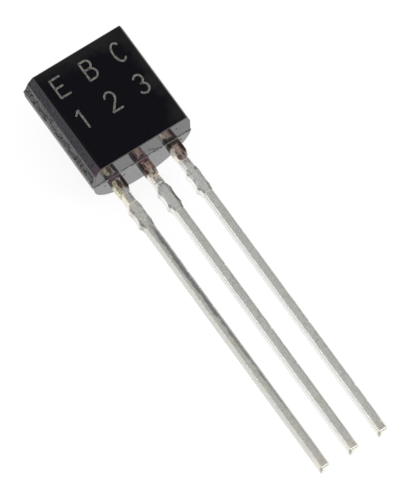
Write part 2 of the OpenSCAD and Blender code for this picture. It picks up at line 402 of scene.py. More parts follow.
def epoxyColor(vector, grain, shaken, axes, shares):
    look = epoxyLook
    x, y, z = axes
    facet, wall, lower, band = shares
    # painted sheen: the flat face is made palest along its top and right edges, and a little along its left
    # edge; the grain adds pale flecks of its own
    uneven = patchesOf(vector, *look["clouds"])
    sheenTop = rangeOf(plusOf(z, uneven), *look["sheenTop"])
    sheenRight = rangeOf(plusOf(x, uneven), *look["sheenRight"])
    pale = largerOf(largerOf(sheenTop, sheenRight), rangeOf(x, *look["sheenLeft"]))
    pale = largerOf(pale, rangeOf(grain, *look["grainPale"]))
    color = mixOf(pale, look["black"], look["charcoal"])
    rust = timesOf(patchesOf(vector, *look["rustPatches"]), band)
    color = layered(color, (facet, look["facet"]), (wall, look["wall"]), (rust, look["rust"]),
                    (lower, look["end"]))
    stained = withSpots(color, shaken, "xy", look["endSpots"])
    dust = timesOf(patchesOf(vector, *look["specks"]), facet)
    corner = spotOf(shaken, "xz", *look["cornerSpot"])
    corner = timesOf(corner, rangeOf(y, *look["cornerDepth"]))
    return layered(color, (lower, stained), (dust, look["dust"]), (corner, look["corner"]))


def epoxySpecular(vector, shaken, y, shares):
    # scuffs, wear and stains dull the shine as well as the colour
    look = epoxyLook
    facet, wall, lower, band = shares
    specular = layered(greyOf(look["specular"]), (facet, greyOf(look["facetSpecular"])),
                       (wall, greyOf(look["wallSpecular"])), (lower, greyOf(look["specular"])))
    scuffs = patchesOf(vector, *look["scuffs"])
    dull = plusOf(patchesOf(vector, *look["endPatches"]), rangeOf(y, *look["dullBehind"]))
    spots = [(centre, half, greyOf(1.0), look["spotDulling"] * strength, *soft)
             for centre, half, _, strength, *soft in look["endSpots"]]
    spotted = withSpots(greyOf(0.0), shaken, "xy", spots)
    worn = timesOf(band, patchesOf(vector, *look["mottle"]))
    for share, mask in ((scuffs, minusOf(facet, lower)), (dull, lower), (spotted, lower)):
        worn = plusOf(worn, timesOf(share, mask))
    return timesOf(specular, minusOf(1.0, worn))


def makeEpoxy():
    look = epoxyLook
    material, tree, shader = newMaterial("blackEpoxy")
    vector = partCoordinates(tree)
    x, y, z = axesOf(vector)
    grain = noiseOf(vector, *look["grain"])
    shaken = wobbled(vector, *look["wobble"])
    shares = epoxyShares(vector, y, z)
    facet, _, lower, _ = shares
    color = epoxyColor(vector, grain, shaken, (x, y, z), shares)
    rough = layered(greyOf(look["faceRoughness"]), (facet, greyOf(look["wallRoughness"])),
                    (lower, greyOf(look["endRoughness"])))
    rough = plusOf(rough, rangeOf(grain, *look["grainRoughness"]))
    pits = bumpOf(grain, *look["grainBump"])
    normal = bumpOf(noiseOf(vector, *look["ripple"]), *look["rippleBump"], pits)
    connect(shader, {"Base Color": color, "Roughness": rough, "Normal": normal,
                     "Specular IOR Level": epoxySpecular(vector, shaken, y, shares)})
    shader.inputs["IOR"].default_value = look["ior"]
    return material


# grained finishes: light and dark tone, range of the dark, noise, two roughnesses, bump, metallic
grainedLooks = {
    # the flash's light tone is a painted highlight along its thin edge, over the dark tone of the moulding
    # compound
    "highlitFlashResin": ((0.28, 0.275, 0.27), epoxyLook["wall"], (0.38, 0.62, 0.0, 0.6), (11.0, 3.0, 0.65),
                  (0.3, 0.5), (0.3, 0.003 * mm), 0.0),
    "laserGrey": ((0.155, 0.146, 0.128), (0.045, 0.042, 0.037), (0.44, 0.62), (10.0, 4.0, 0.7),
                  (0.6, 0.8), (0.4, 0.004 * mm), 0.0),
    "polishedSilicon": ((0.2, 0.21, 0.24), (0.12, 0.13, 0.15), (0.35, 0.65), (9.0, 3.0),
                        (0.12, 0.22), (0.2, 0.002 * mm), 0.4),
    "silverFilledResin": ((0.55, 0.54, 0.5), (0.4, 0.39, 0.36), (0.35, 0.65), (30.0, 3.0),
                          (0.4, 0.5), (0.2, 0.002 * mm), 0.6),
    "goldWire": ((0.95, 0.72, 0.3), (0.85, 0.6, 0.22), (0.35, 0.65), (20.0, 3.0),
                 (0.2, 0.3), (0.2, 0.002 * mm), 1.0),
}
# the flash is darker and redder beside each lead
flashBesideLeads = [((lead * leadSize["pitch"], 0.0), (0.27, 0.2), (0.085, 0.055, 0.06), 0.9, 0.2)
              for lead in (-1, 0, 1)]


def makeGrained(name, stains=()):
    light, dark, darkRange, noise, roughness, bump, metallic = grainedLooks[name]
    material, tree, shader = newMaterial(name)
    vector = partCoordinates(tree)
    grain = noiseOf(vector, *noise)
    color = mixOf(rangeOf(grain, *darkRange), light, dark)
    connect(shader, {
        "Base Color": withSpots(color, vector, "xz", stains),
        "Roughness": rangeOf(grain, 0.3, 0.7, *roughness),
        "Normal": bumpOf(grain, *bump)})
    shader.inputs["Metallic"].default_value = metallic
    return material


# tin plating, tarnished where each lead leaves the body
tinLook = {
    "tin": (0.93, 0.93, 0.89),
    "tinDark": (0.55, 0.55, 0.52),
    "yellowed": (0.76, 0.76, 0.63),
    "pinked": (0.8, 0.76, 0.74),
    "glint": (1.0, 1.0, 1.0),
    "fleck": (0.05, 0.04, 0.035),
    "endTone": (0.78, 0.785, 0.70),
    # painted shade of the left wall close to the back of the strip, and how far the right edge's painted
    # shade fades
    "backShade": 0.8,            # of the left wall's brightness, close to the back of the strip
    "edgeFade": 0.8,             # of the right edge's strength, low down the lead
    # how far each covers the tin under it
    "sideShare": 0.92,
    "rimShare": 0.8,
    "glintShare": 0.45,
    "fleckShare": 0.55,
    # noise, ranges of it and its bumps
    "blots": (2.6, 4.0, 0.6),
    "blotHaze": (0.5, 0.66, 0.0, 0.45),
    "grain": (10.0, 3.0, 0.7),
    "grainDark": (0.42, 0.64),
    "grainEdge": (0.36, 0.6, 0.72, 1.0),
    "grainRoughness": (0.3, 0.7, 0.36, 0.48),
    "grainBump": (0.45, 0.004 * mm),
    "streakScale": (22.0, 22.0, 2.4),
    "streakBright": (0.3, 0.7),
    "streakBump": (0.3, 0.003 * mm),
    "tintScale": (1.5, 1.5, 0.9),
    "tintYellow": (0.52, 0.66, 0.0, 0.6),
    "tintPink": (0.46, 0.34, 0.0, 0.5),
    # noise, and the range that makes it patches
    "glints": ((9.0, 1.0, 0.3), (0.69, 0.77)),
    "flecks": ((15.0, 3.0, 0.6), (0.5, 0.62)),
    "wobble": (11.0, 0.11),      # scale per mm and reach in mm
    "patternShift": 2.7,         # down the lead for each mm across, so that no two leads look alike
    # where a mask starts and where it is full, in mm
    "sideFrom": (-0.125, -0.175),
    "sideTop": (-0.6, -0.7),
    "backDepth": (stripFront + 0.16, stripFront + 0.34),
    "edgeWidth": 0.07,
    "edgeTop": (-2.0, -2.9),
    "edgeRun": (-5.0, -12.5),
    "rimFrom": (0.105, 0.135),
    "rimTop": (-0.8, -1.2),
    "glintsFrom": (-0.18, -0.13),
    "fleckHeight": (-1.1, -0.55, 0.0, 0.65),
    "endTop": 0.006,
    # spots, centre (across, up)
    "warmTip": ((0.0, 0.25 - leadSize["length"]), (0.35, 0.3), (0.76, 0.71, 0.62), 0.55, 0.7),
    # painted shade along the burr, at the left of the cut end
    "burrShade": ((-0.18, -leadSize["length"]), (0.035, 0.07), (0.34, 0.34, 0.31), 0.95, 0.4),
}
# each lead: its place across, how far stub and root stand out at its left and right, and its own tones, of
# which those of the left wall, the right edge and its rim are painted shade, and its spots, centre (across,
# up)
emitterLook = {
    "middle": -leadSize["pitch"],
    "stubs": (leadSize["stubLeft"], leadSize["stubSmall"]),
    "roots": (leadSize["rootLeft"], leadSize["rootRight"]),
    "beadDepth": 1.22,
    "seed": 11,
    "haze": (0.84, 0.82, 0.74),
    # painted shade: the tones of the left wall, of the right edge and of its rim
    "sideShadeTone": (0.57, 0.565, 0.53),
    "edgeShadeTone": (0.27, 0.27, 0.28),
    "rimShadeTone": (0.40, 0.40, 0.39),
    "edgeFrom": -0.035,
    "edgeShake": 0.2,
    "edgeGrain": 0.2,
    "edgeDrift": 0.12,
    # spots: brown, pink and violet tarnish on the root, darkest just below the body; the bright cream and
    # white spots are painted highlights, and the dark spots at the stub's edges are painted shade
    "spots": (
        ((-0.03, -0.55), (0.38, 0.62), (0.8, 0.75, 0.65), 0.9, 0.3),
        ((-0.11, -0.72), (0.07, 0.4), (0.98, 0.89, 0.66), 0.9),
        ((0.0, -1.28), (0.2, 0.16), (0.98, 0.95, 0.8), 0.6, 0.6),
        ((-0.25, -0.58), (0.09, 0.36), (0.58, 0.56, 0.42), 0.9, 0.35),
        ((-0.21, -0.65), (0.04, 0.1), (0.62, 0.66, 0.42), 0.7),
        ((-0.24, -0.82), (0.04, 0.06), (0.16, 0.14, 0.09), 0.85),
        ((0.03, -0.92), (0.06, 0.2), (0.74, 0.74, 0.9), 0.7, 0.6),
        ((0.12, -0.98), (0.025, 0.24), (0.25, 0.25, 0.27), 0.85),
        ((-0.13, -0.5), (0.03, 0.04), (0.3, 0.26, 0.17), 0.85),
        ((-0.05, -0.6), (0.03, 0.03), (0.34, 0.3, 0.2), 0.8),
        ((-0.26, -0.16), (0.08, 0.18), (0.035, 0.03, 0.01), 0.97, 0.3),
        ((-0.18, -0.33), (0.035, 0.14), (0.8, 0.7, 0.5), 0.95, 0.4),
        ((-0.14, -0.27), (0.025, 0.05), (0.16, 0.14, 0.05), 0.9),
        ((-0.09, -0.29), (0.03, 0.06), (0.9, 0.82, 0.46), 0.85),
        ((0.02, -0.34), (0.09, 0.22), (0.1, 0.066, 0.052), 0.95, 0.35),
        ((0.03, -0.42), (0.04, 0.05), (0.26, 0.17, 0.13), 0.8),
        ((0.235, -0.36), (0.1, 0.34), (0.04, 0.028, 0.03), 0.97, 0.3),
        ((0.13, -0.52), (0.03, 0.12), (0.09, 0.065, 0.055), 0.85),
        ((0.0, -0.08), (0.4, 0.07), (0.13, 0.085, 0.11), 0.92, 0.45),
        ((0.05, -0.12), (0.05, 0.025), (0.5, 0.4, 0.5), 0.8),
        ((0.0, -1.72), (0.5, 0.5), (1.0, 0.98, 0.9), 0.3, 0.3),
        ((-0.24, -1.6), (0.05, 0.15), (0.5, 0.42, 0.38), 0.7, 0.6),
        ((-0.22, -2.2), (0.06, 0.12), (0.25, 0.26, 0.25), 0.7),
    ),
}
baseLook = {
    "middle": 0.0,
    "stubs": (leadSize["stubLeft"], leadSize["stubRight"]),
    "roots": (leadSize["rootLeft"], leadSize["rootBase"]),
    "beadDepth": 1.12,
    "seed": 21,
    "haze": (0.89, 0.89, 0.85),
    # painted shade: the tones of the left wall, of the right edge and of its rim
    "sideShadeTone": (0.745, 0.745, 0.72),
    "edgeShadeTone": (0.36, 0.36, 0.345),
    "rimShadeTone": (0.36, 0.36, 0.345),
    "edgeFrom": 0.10,
    "edgeShake": 0.0,
    "edgeGrain": 0.08,
    "edgeDrift": 0.025,
    # spots: brown, pink and violet tarnish on the root, darkest just below the body; the bright cream and
    # white spots are painted highlights, and the dark spots at the stub's edges are painted shade
    "spots": (
        ((0.0, -0.36), (0.34, 0.34), (0.42, 0.29, 0.26), 0.95, 0.2),
        ((0.0, -0.78), (0.2, 0.26), (0.92, 0.79, 0.66), 0.85, 0.4),
        ((-0.03, -0.27), (0.022, 0.11), (0.92, 0.6, 0.6), 0.9),
        ((0.06, -0.42), (0.045, 0.11), (0.78, 0.54, 0.42), 0.85),
        ((-0.1, -0.29), (0.025, 0.12), (0.09, 0.05, 0.05), 0.9),
        ((0.015, -0.58), (0.025, 0.09), (0.98, 0.92, 0.72), 0.85),
        ((0.02, -0.72), (0.05, 0.04), (0.16, 0.14, 0.05), 0.92),
        ((0.1, -0.62), (0.03, 0.14), (0.2, 0.15, 0.1), 0.9),
        ((-0.06, -0.86), (0.03, 0.035), (0.28, 0.22, 0.17), 0.85),
        ((-0.27, -0.24), (0.13, 0.26), (0.024, 0.018, 0.018), 0.98, 0.3),
        ((-0.19, -0.54), (0.09, 0.1), (0.085, 0.045, 0.03), 0.93, 0.4),
        ((-0.25, -0.8), (0.06, 0.12), (0.84, 0.76, 0.72), 0.8),
        ((0.0, -0.06), (0.35, 0.05), (0.2, 0.11, 0.13), 0.9),
        ((0.08, -0.14), (0.11, 0.04), (0.1, 0.045, 0.055), 0.92, 0.45),
        ((0.15, -0.3), (0.03, 0.24), (0.24, 0.15, 0.17), 0.85),
        ((0.0, -1.03), (0.12, 0.04), (0.4, 0.38, 0.33), 0.7),
        ((-0.08, -1.13), (0.035, 0.03), (1.0, 1.0, 1.0), 0.9),
        ((0.04, -1.13), (0.035, 0.03), (1.0, 1.0, 1.0), 0.9),
        ((0.0, -1.22), (0.07, 0.03), (0.48, 0.52, 0.5), 0.8),
        ((0.1, -1.22), (0.035, 0.07), (0.2, 0.25, 0.23), 0.9),
        ((0.0, -1.72), (0.5, 0.5), (1.0, 1.0, 0.97), 0.22, 0.3),
        ((0.2, -1.88), (0.045, 0.26), (0.16, 0.16, 0.15), 0.85),
        ((0.235, -1.53), (0.03, 0.06), (0.3, 0.3, 0.29), 0.8),
        ((-0.26, -1.53), (0.04, 0.08), (0.36, 0.36, 0.34), 0.7),
        ((-0.24, -2.16), (0.05, 0.07), (0.26, 0.26, 0.25), 0.55, 0.6),
        ((-0.15, -2.33), (0.025, 0.1), (0.28, 0.28, 0.26), 0.7, 0.6),
        ((0.13, -2.38), (0.03, 0.1), (0.28, 0.28, 0.26), 0.7),
    ),
}
collectorLook = {
    "middle": leadSize["pitch"],
    "stubs": emitterLook["stubs"],
    "roots": emitterLook["roots"],
    "beadDepth": 0.85,
    "seed": 31,
    "haze": (0.90, 0.90, 0.86),
    # painted shade: the tones of the left wall, of the right edge and of its rim
    "sideShadeTone": (0.745, 0.745, 0.72),
    "edgeShadeTone": (0.38, 0.38, 0.365),
    "rimShadeTone": (0.38, 0.38, 0.365),
    "edgeFrom": 0.105,
    "edgeShake": 0.0,
    "edgeGrain": 0.08,
    "edgeDrift": 0.03,
    # spots: brown, pink and violet tarnish on the root, darkest just below the body; the bright cream and
    # white spots are painted highlights, and the dark spots at the stub's edges are painted shade
    "spots": (
        ((-0.01, -0.4), (0.3, 0.4), (0.5, 0.37, 0.32), 0.92, 0.25),
        ((0.0, -0.86), (0.16, 0.16), (0.74, 0.66, 0.62), 0.8),
        ((-0.21, -0.52), (0.065, 0.27), (0.98, 0.94, 0.82), 0.98, 0.35),
        ((-0.12, -0.34), (0.045, 0.09), (0.98, 0.8, 0.66), 0.9, 0.45),
        ((-0.11, -0.5), (0.035, 0.05), (0.12, 0.11, 0.06), 0.9),
        ((-0.1, -0.69), (0.09, 0.1), (0.27, 0.145, 0.13), 0.93, 0.4),
        ((0.03, -0.52), (0.028, 0.3), (0.76, 0.57, 0.5), 0.85),
        ((0.1, -0.66), (0.04, 0.16), (0.17, 0.11, 0.08), 0.9),
        ((-0.02, -0.82), (0.14, 0.03), (0.34, 0.26, 0.24), 0.7),
        ((0.215, -0.36), (0.085, 0.28), (0.075, 0.04, 0.036), 0.97, 0.3),
        ((0.0, -0.09), (0.4, 0.09), (0.065, 0.06, 0.052), 0.93, 0.45),
        ((-0.21, -0.14), (0.11, 0.12), (0.025, 0.032, 0.016), 0.95, 0.4),
        ((0.12, -0.98), (0.04, 0.12), (0.42, 0.36, 0.42), 0.7, 0.6),
        ((0.0, -1.72), (0.5, 0.5), (1.0, 1.0, 0.98), 0.34, 0.3),
        ((-0.22, -2.17), (0.06, 0.06), (0.22, 0.22, 0.21), 0.6, 0.6),
        ((-0.15, -2.35), (0.03, 0.15), (0.3, 0.3, 0.28), 0.75),
        ((0.12, -1.38), (0.04, 0.05), (0.3, 0.31, 0.3), 0.7),
    ),
}
leadLooks = {"emitter": emitterLook, "base": baseLook, "collector": collectorLook}


def plainTin(own, haze, grain, streak, blot):
    # tin with streaks down the lead, dark grain and hazy blots, in a tint that drifts to yellow and to pink
    look = tinLook
    tint = noiseOf(stretched(own, look["tintScale"]), 1.0, 3.0)
    color = mixOf(rangeOf(streak, *look["streakBright"]), haze, look["tin"])
    return layered(color, (rangeOf(grain, *look["grainDark"]), look["tinDark"]),
                   (rangeOf(blot, *look["blotHaze"]), haze),
                   (rangeOf(tint, *look["tintYellow"]), look["yellowed"]),
                   (rangeOf(tint, *look["tintPink"]), look["pinked"]))


def leftWallShade(color, tone, axes):
    # painted shade: the left side wall is greyed, and darker still towards the back of the strip
    look = tinLook
    x, y, z = axes
    side = timesOf(rangeOf(x, *look["sideFrom"]), rangeOf(z, *look["sideTop"]))
    color = mixOf(timesOf(side, look["sideShare"]), color, tone)
    shade = rangeOf(y, *look["backDepth"], 1.0, look["backShade"])
    return mixOf(side, color, mixOf(shade, greyOf(0.0), color))


def rightEdgeShade(color, lead, axes, grain, streak, blot):
    # painted shade: the right edge and its rim are darkened, most of all near the body, and the uneven
    # border of the shade nears the rim down the lead
    look = tinLook
    x, _, z = axes
    drift = rangeOf(z, *look["edgeRun"], 0.0, lead["edgeDrift"])
    uneven = timesOf(minusOf(blot, 0.5), lead["edgeShake"])
    place = plusOf(x, timesOf(minusOf(streak, 0.5), lead["edgeGrain"]))
    place = minusOf(plusOf(place, uneven), drift)
    edge = rangeOf(place, lead["edgeFrom"], lead["edgeFrom"] + look["edgeWidth"])
    edge = timesOf(edge, rangeOf(grain, *look["grainEdge"]))
    fade = timesOf(rangeOf(z, *look["edgeTop"]), rangeOf(z, *look["edgeRun"], 1.0, look["edgeFade"]))
    rim = rangeOf(x, *look["rimFrom"])
    edge = largerOf(timesOf(edge, fade), timesOf(rim, look["rimShare"]))
    edge = timesOf(edge, rangeOf(z, *look["rimTop"]))
    return mixOf(edge, color, mixOf(rim, lead["edgeShadeTone"], lead["rimShadeTone"]))


def cutTip(color, vector, z):
    # warm just above the cut, cream on the bevel and the end face, and a painted shade along the burr
    look = tinLook
    bevelTop = leadSize["tipBevel"] - leadSize["length"]
    color = withSpots(color, vector, "xz", [look["warmTip"]])
    color = mixOf(rangeOf(z, bevelTop + look["endTop"], bevelTop), color, look["endTone"])
    return withSpots(color, vector, "xz", [look["burrShade"]])


def makeTin(key):
    look, lead = tinLook, leadLooks[key]
    material, tree, shader = newMaterial(key + "Tin")
    vector = stretched(partCoordinates(tree), (1.0, 1.0, 1.0), (-lead["middle"], 0.0, 0.0))
    own = stretched(vector, (1.0, 1.0, 1.0), (0.0, 0.0, look["patternShift"] * lead["middle"]))
    axes = axesOf(vector)
    x, _, z = axes
    grain = noiseOf(own, *look["grain"])
    streak = noiseOf(stretched(own, look["streakScale"]), 1.0, 3.0, 0.6)
    blot = noiseOf(own, *look["blots"])
    color = plainTin(own, lead["haze"], grain, streak, blot)
    color = leftWallShade(color, lead["sideShadeTone"], axes)
    color = rightEdgeShade(color, lead, axes, grain, streak, blot)
    # painted glints: white highlights scattered over the lead, all but its left wall
    glints = timesOf(patchesOf(own, *look["glints"]), look["glintShare"])
    glints = timesOf(glints, rangeOf(x, *look["glintsFrom"]))
    color = mixOf(glints, color, look["glint"])
    color = withSpots(color, wobbled(vector, *look["wobble"]), "xz", lead["spots"])
    # fine tarnish over the stained part
    flecks = timesOf(patchesOf(own, *look["flecks"]), rangeOf(z, *look["fleckHeight"]))
    color = mixOf(flecks, color, mixOf(look["fleckShare"], color, look["fleck"]))
    color = cutTip(color, vector, z)
    rough = rangeOf(grain, *look["grainRoughness"])
    normal = bumpOf(grain, *look["grainBump"], bumpOf(streak, *look["streakBump"]))
    connect(shader, {"Base Color": color, "Roughness": rough, "Normal": normal})
    shader.inputs["Metallic"].default_value = 1.0
    return material


epoxy = makeEpoxy()
tinOf = {key: makeTin(key) for key in leadLooks}
gold = makeGrained("goldWire")
cadFinish = {
    "body": epoxy,
    "emitter_lead": tinOf["emitter"],
    "base_lead": tinOf["base"],
    "collector_lead": tinOf["collector"],
    "die": makeGrained("polishedSilicon"),
    "die_attach": makeGrained("silverFilledResin"),
    "emitter_wire": gold,
    "base_wire": gold,
}
for nodeName, finish in cadFinish.items():
    nodes[nodeName].data.materials.clear()
    nodes[nodeName].data.materials.append(finish)
print("materials made")


def arcOf(corner, fromAngle, toAngle, radius, count):
    # rounding of a corner between two straight walls whose outward normals are at the two angles
    n0 = np.array((math.cos(fromAngle), math.sin(fromAngle)))
    n1 = np.array((math.cos(toAngle), math.sin(toAngle)))
    centre = np.array(corner) - radius * (n0 + n1) / (1 + n0 @ n1)
    angle = np.linspace(fromAngle, toAngle, count)
    normal = np.stack([np.cos(angle), np.sin(angle)], -1)
    return centre + radius * normal, normal


def lineOf(start, end, normal, count):
    # points strictly between two ends, start + share x (end - start), all with one normal
    share = (np.arange(count) + 1.0)[:, None] / (count + 1)
    return start + (end - start) * share, np.repeat(normal[None], count, 0)


# points of the body's grid: along the plan outline, then up the body
bodyMesh = {
    "facePoints": 24,
    "cornerPoints": 9,
    "facetPoints": 12,
    "shoulderPoints": 5,
    "wallPoints": 16,
    "backPoints": 110,
    "partingAngles": (0.0015, 0.003, 0.0045),    # extra points just behind the parting plane
    "capShares": np.concatenate([np.linspace(0.04, 0.9, 12), (0.95, 0.98, 0.995)]),
    "edgeRows": 9,
    "wallRows": 130,
}


def backCircle():
    # radius and centre depth of the arc from the parting plane over the crown
    size = bodySize
    radius = (size["width"] ** 2 / 4 + size["backDepth"] ** 2) / (2 * size["backDepth"])
    return radius, size["frontDepth"] + size["backDepth"] - radius


def planOutline():
    # the body seen from the end, from the middle of the flat face to the crown, then mirrored:
    # flat, rounded corner, facet, rounded shoulder, side wall, back arc
    size, points = bodySize, bodyMesh
    front, shoulderDepth = size["frontDepth"], size["shoulderDepth"]
    halfFlat, halfShoulder, halfWidth = size["flatWidth"] / 2, size["shoulderWidth"] / 2, size["width"] / 2
    facetAngle = -math.atan2(halfShoulder - halfFlat, shoulderDepth)
    wallAngle = -math.atan2(halfWidth - halfShoulder, front - shoulderDepth)
    corner = arcOf((halfFlat, 0), -math.pi / 2, facetAngle, size["faceRounding"], points["cornerPoints"])
    shoulder = arcOf((halfShoulder, shoulderDepth), facetAngle, wallAngle, size["shoulderRounding"],
                     points["shoulderPoints"])
    flat = lineOf((0.0, 0.0), corner[0][0], corner[1][0], points["facePoints"])
    facet = lineOf(corner[0][-1], shoulder[0][0], shoulder[1][0], points["facetPoints"])
    wall = lineOf(shoulder[0][-1], np.array((halfWidth, front)), shoulder[1][-1], points["wallPoints"])
    radius, centreDepth = backCircle()
    angle = np.linspace(math.asin((front - centreDepth) / radius), math.pi / 2, points["backPoints"])[:-1]
    angle = np.concatenate([angle[:1] + points["partingAngles"], angle[1:]])
    backNormal = np.stack([np.cos(angle), np.sin(angle)], -1)
    back = np.array((0.0, centreDepth)) + radius * backNormal, backNormal
    half, halfNormal = (np.concatenate(parts) for parts in zip(flat, corner, facet, shoulder, wall, back))
    flip = np.array((-1.0, 1.0))
    outline = np.concatenate([[(0.0, 0.0)], half, [(0.0, centreDepth + radius)], half[::-1] * flip])
    normal = np.concatenate([[(0.0, -1.0)], halfNormal, [(0.0, 1.0)], halfNormal[::-1] * flip])
    return outline, normal


def placedOnBody(x, y, z):
    # behind the parting plane everything sits a little to the right
    shift = bodySize["mouldShift"] * smoothStep((y - bodySize["frontDepth"]) / bodySize["shiftOver"])
    return placed(x + shift, y, z)


def endCap(outline, normal, frontRounding):
    # plan and rise of rings over an end face: centre + share x (inner outline - centre), then
    # inner outline + rounding x cosine of the turn round the edge; the rise is draft + edge rounding
    size, share = bodySize, bodyMesh["capShares"]
    centre = np.array((0.0, size["frontDepth"]))
    turn = np.linspace(math.pi / 2, 0, bodyMesh["edgeRows"])
    rounding = np.where(outline[:, 1] < size["frontDepth"], frontRounding, size["crownRounding"])
    inner = outline - normal * rounding[:, None]
    capRings = centre + (inner - centre) * share[:, None, None]
    edgeRings = inner + normal * rounding[:, None] * np.cos(turn)[:, None, None]
    rings = np.concatenate([capRings, edgeRings])
    lift = np.concatenate([np.zeros((len(share), len(outline))), rounding * (1 - np.sin(turn))[:, None]])
    behind = rings[..., 1] - size["frontDepth"]
    slope = np.where(behind < 0, math.tan(size["frontDraft"]), math.tan(size["backDraft"]))
    return rings, np.abs(behind) * slope + lift


def ejectorMark(rimX, rimZ):
    # rings(distance from the middle) inside a rim of points on the crown, and the middle of its floor
    size = bodySize
    radius, centreDepth = backCircle()
    crown = centreDepth + radius
    away = np.hypot(rimX, rimZ)
    r, floorDepth = size["markRadius"], size["markDepth"]
    # distance from the middle, and depth below the crown or None for on the back
    profile = ((r + 0.04, None), (r + 0.015, None), (r + 0.004, 0.006), (r - 0.004, 0.02), (r - 0.01, 0.12),
               (r - 0.014, floorDepth - 0.02), (r - 0.03, floorDepth), (0.6 * r, floorDepth),
               (0.25 * r, floorDepth))
    rings = []
    for distance, depth in profile:
        x, up = rimX / away * distance, rimZ / away * distance
        onBack = centreDepth + np.sqrt(radius ** 2 - x ** 2)
        y = onBack if depth is None else np.minimum(onBack - 0.5 * min(depth, 0.01), crown - depth)
        rings.append(placedOnBody(x, y, size["markHeight"] + up))
    return np.array(rings), placedOnBody(0.0, crown - floorDepth, size["markHeight"])


def makeBody():
    # surface(u, v): u runs round the plan outline, v from the middle of the lower end face over the
    # rounded lower edge, up the wall and over the upper edge to the middle of the upper end face
    size, wallRows = bodySize, bodyMesh["wallRows"]
    outline, normal = planOutline()
    lowRings, lowZ = endCap(outline, normal, size["endRounding"])
    highRings, highRise = endCap(outline, normal, size["topRounding"])
    highZ = size["height"] - highRise[::-1]
    share = (np.arange(wallRows) + 1.0) / (wallRows + 1)
    wallZ = lowZ[-1] + (highZ[0] - lowZ[-1]) * share[:, None]
    plan = np.concatenate([lowRings, np.repeat(outline[None], wallRows, 0), highRings[::-1]])
    z = np.concatenate([lowZ, wallZ, highZ])
    rings = placedOnBody(plan[..., 0], plan[..., 1], z)
    count = rings.shape[0] * rings.shape[1]
    loops = np.arange(count).reshape(rings.shape[:2])
    quads = stripFaces(loops)
    # a window in the crown is refilled with the ejector mark
    reach = size["markWindow"] * size["markRadius"]
    rows = np.flatnonzero(np.abs(z[:, len(outline) // 2] - size["markHeight"]) < reach)
    columns = np.flatnonzero((np.abs(outline[:, 0]) < reach) & (outline[:, 1] > size["frontDepth"]))
    row0, row1, column0, column1 = rows[0], rows[-1], columns[0], columns[-1]
    quadRow, quadColumn = np.divmod(np.arange(len(quads)), rings.shape[1])
    kept = (quadRow < row0) | (quadRow >= row1) | (quadColumn < column0) | (quadColumn >= column1)
    rim = np.concatenate([
        loops[row0, column0:column1], loops[row0:row1, column1],
        loops[row1, column1:column0:-1], loops[row1:row0:-1, column0]])
    markRings, markMiddle = ejectorMark(plan[..., 0].ravel()[rim], z.ravel()[rim] - size["markHeight"])
    pole = count + markRings[..., 0].size
    markLoops = np.arange(count, pole).reshape(markRings.shape[:2])
    quads = np.concatenate([quads[kept], stripFaces(np.concatenate([rim[None], markLoops]))])
    poles = [markMiddle] + [placed(0.0, size["frontDepth"], height) for height in (0.0, size["height"])]
    points = np.concatenate([rings.reshape(-1, 3), markRings.reshape(-1, 3), poles])
    triangles = np.concatenate([fanFaces(markLoops[-1], pole), fanFaces(loops[0][::-1], pole + 1),
                                fanFaces(loops[-1], pole + 2)])
    piece = makePiece("mouldedBody", [facingOut(points, quads, triangles)], epoxy)
    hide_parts("body")


makeBody()

flashLook = {
    "halfThickness": 0.026,
    "sideProud": 0.02,
    "endProud": 0.032,
    "rootInside": 0.04,
    "cornerRadius": 0.05,
    "cornerPoints": 7,
    "step": 0.02,
    "unevenness": 0.3,
    "waveRate": 3.3,
    "seed": 5,
    # the rim's section: shares of how far it stands proud, and of half its thickness
    "outShares": (0.0, 0.1, 0.6, 0.92, 1.0, 0.92, 0.6, 0.1, 0.0),
    "acrossShares": (-1.0, -1.0, -0.72, -0.38, 0.0, 0.38, 0.72, 1.0, 1.0),
}


def partingPath():
    # points and outward normals round the parting rectangle, an arc and then a side at a time
    look = flashLook
    radius = look["cornerRadius"]
    half = np.array((bodySize["width"] / 2, bodySize["height"] / 2)) - radius
    path, normal = [], []
    for k, signs in enumerate(quadrants):
        angle = np.linspace(0, math.pi / 2, look["cornerPoints"]) + k * math.pi / 2
        turn = np.stack([np.cos(angle), np.sin(angle)], -1)
        corner = half * signs + radius * turn
        length = 2 * half[k % 2]
        count = int(length / look["step"])
        run = np.array((-turn[-1, 1], turn[-1, 0]))
        side = corner[-1] + run * (np.arange(count) + 1.0)[:, None] / (count + 1) * length
        path += [corner, side]
        normal += [turn, np.repeat(turn[-1:], count, 0)]
    return np.concatenate(path), np.concatenate(normal)


def makeFlash():
    # a thin rim carried round the parting rectangle: profile(v) set off along the outward normal(u)
    look, size = flashLook, bodySize
    path, normal = partingPath()
    along = np.arange(len(path)) * look["step"]
    proud = look["sideProud"] * normal[:, 0] ** 2 + look["endProud"] * normal[:, 1] ** 2
    proud = proud * (1 + look["unevenness"] * softNoise(along * look["waveRate"], look["seed"]))
    out = np.array(look["outShares"])
    offset = out * proud[:, None] - np.where(out == 0, look["rootInside"], 0.0)
    x = path[:, 0, None] + normal[:, 0, None] * offset
    z = size["height"] / 2 + path[:, 1, None] + normal[:, 1, None] * offset
    y = size["frontDepth"] + np.array(look["acrossShares"]) * look["halfThickness"]
    # the flash gets a painted highlight in its light tone
    resin = makeGrained("highlitFlashResin", flashBesideLeads)
    makePiece("partingFlash", [ringSurface(placed(x, y, z))], resin)


makeFlash()

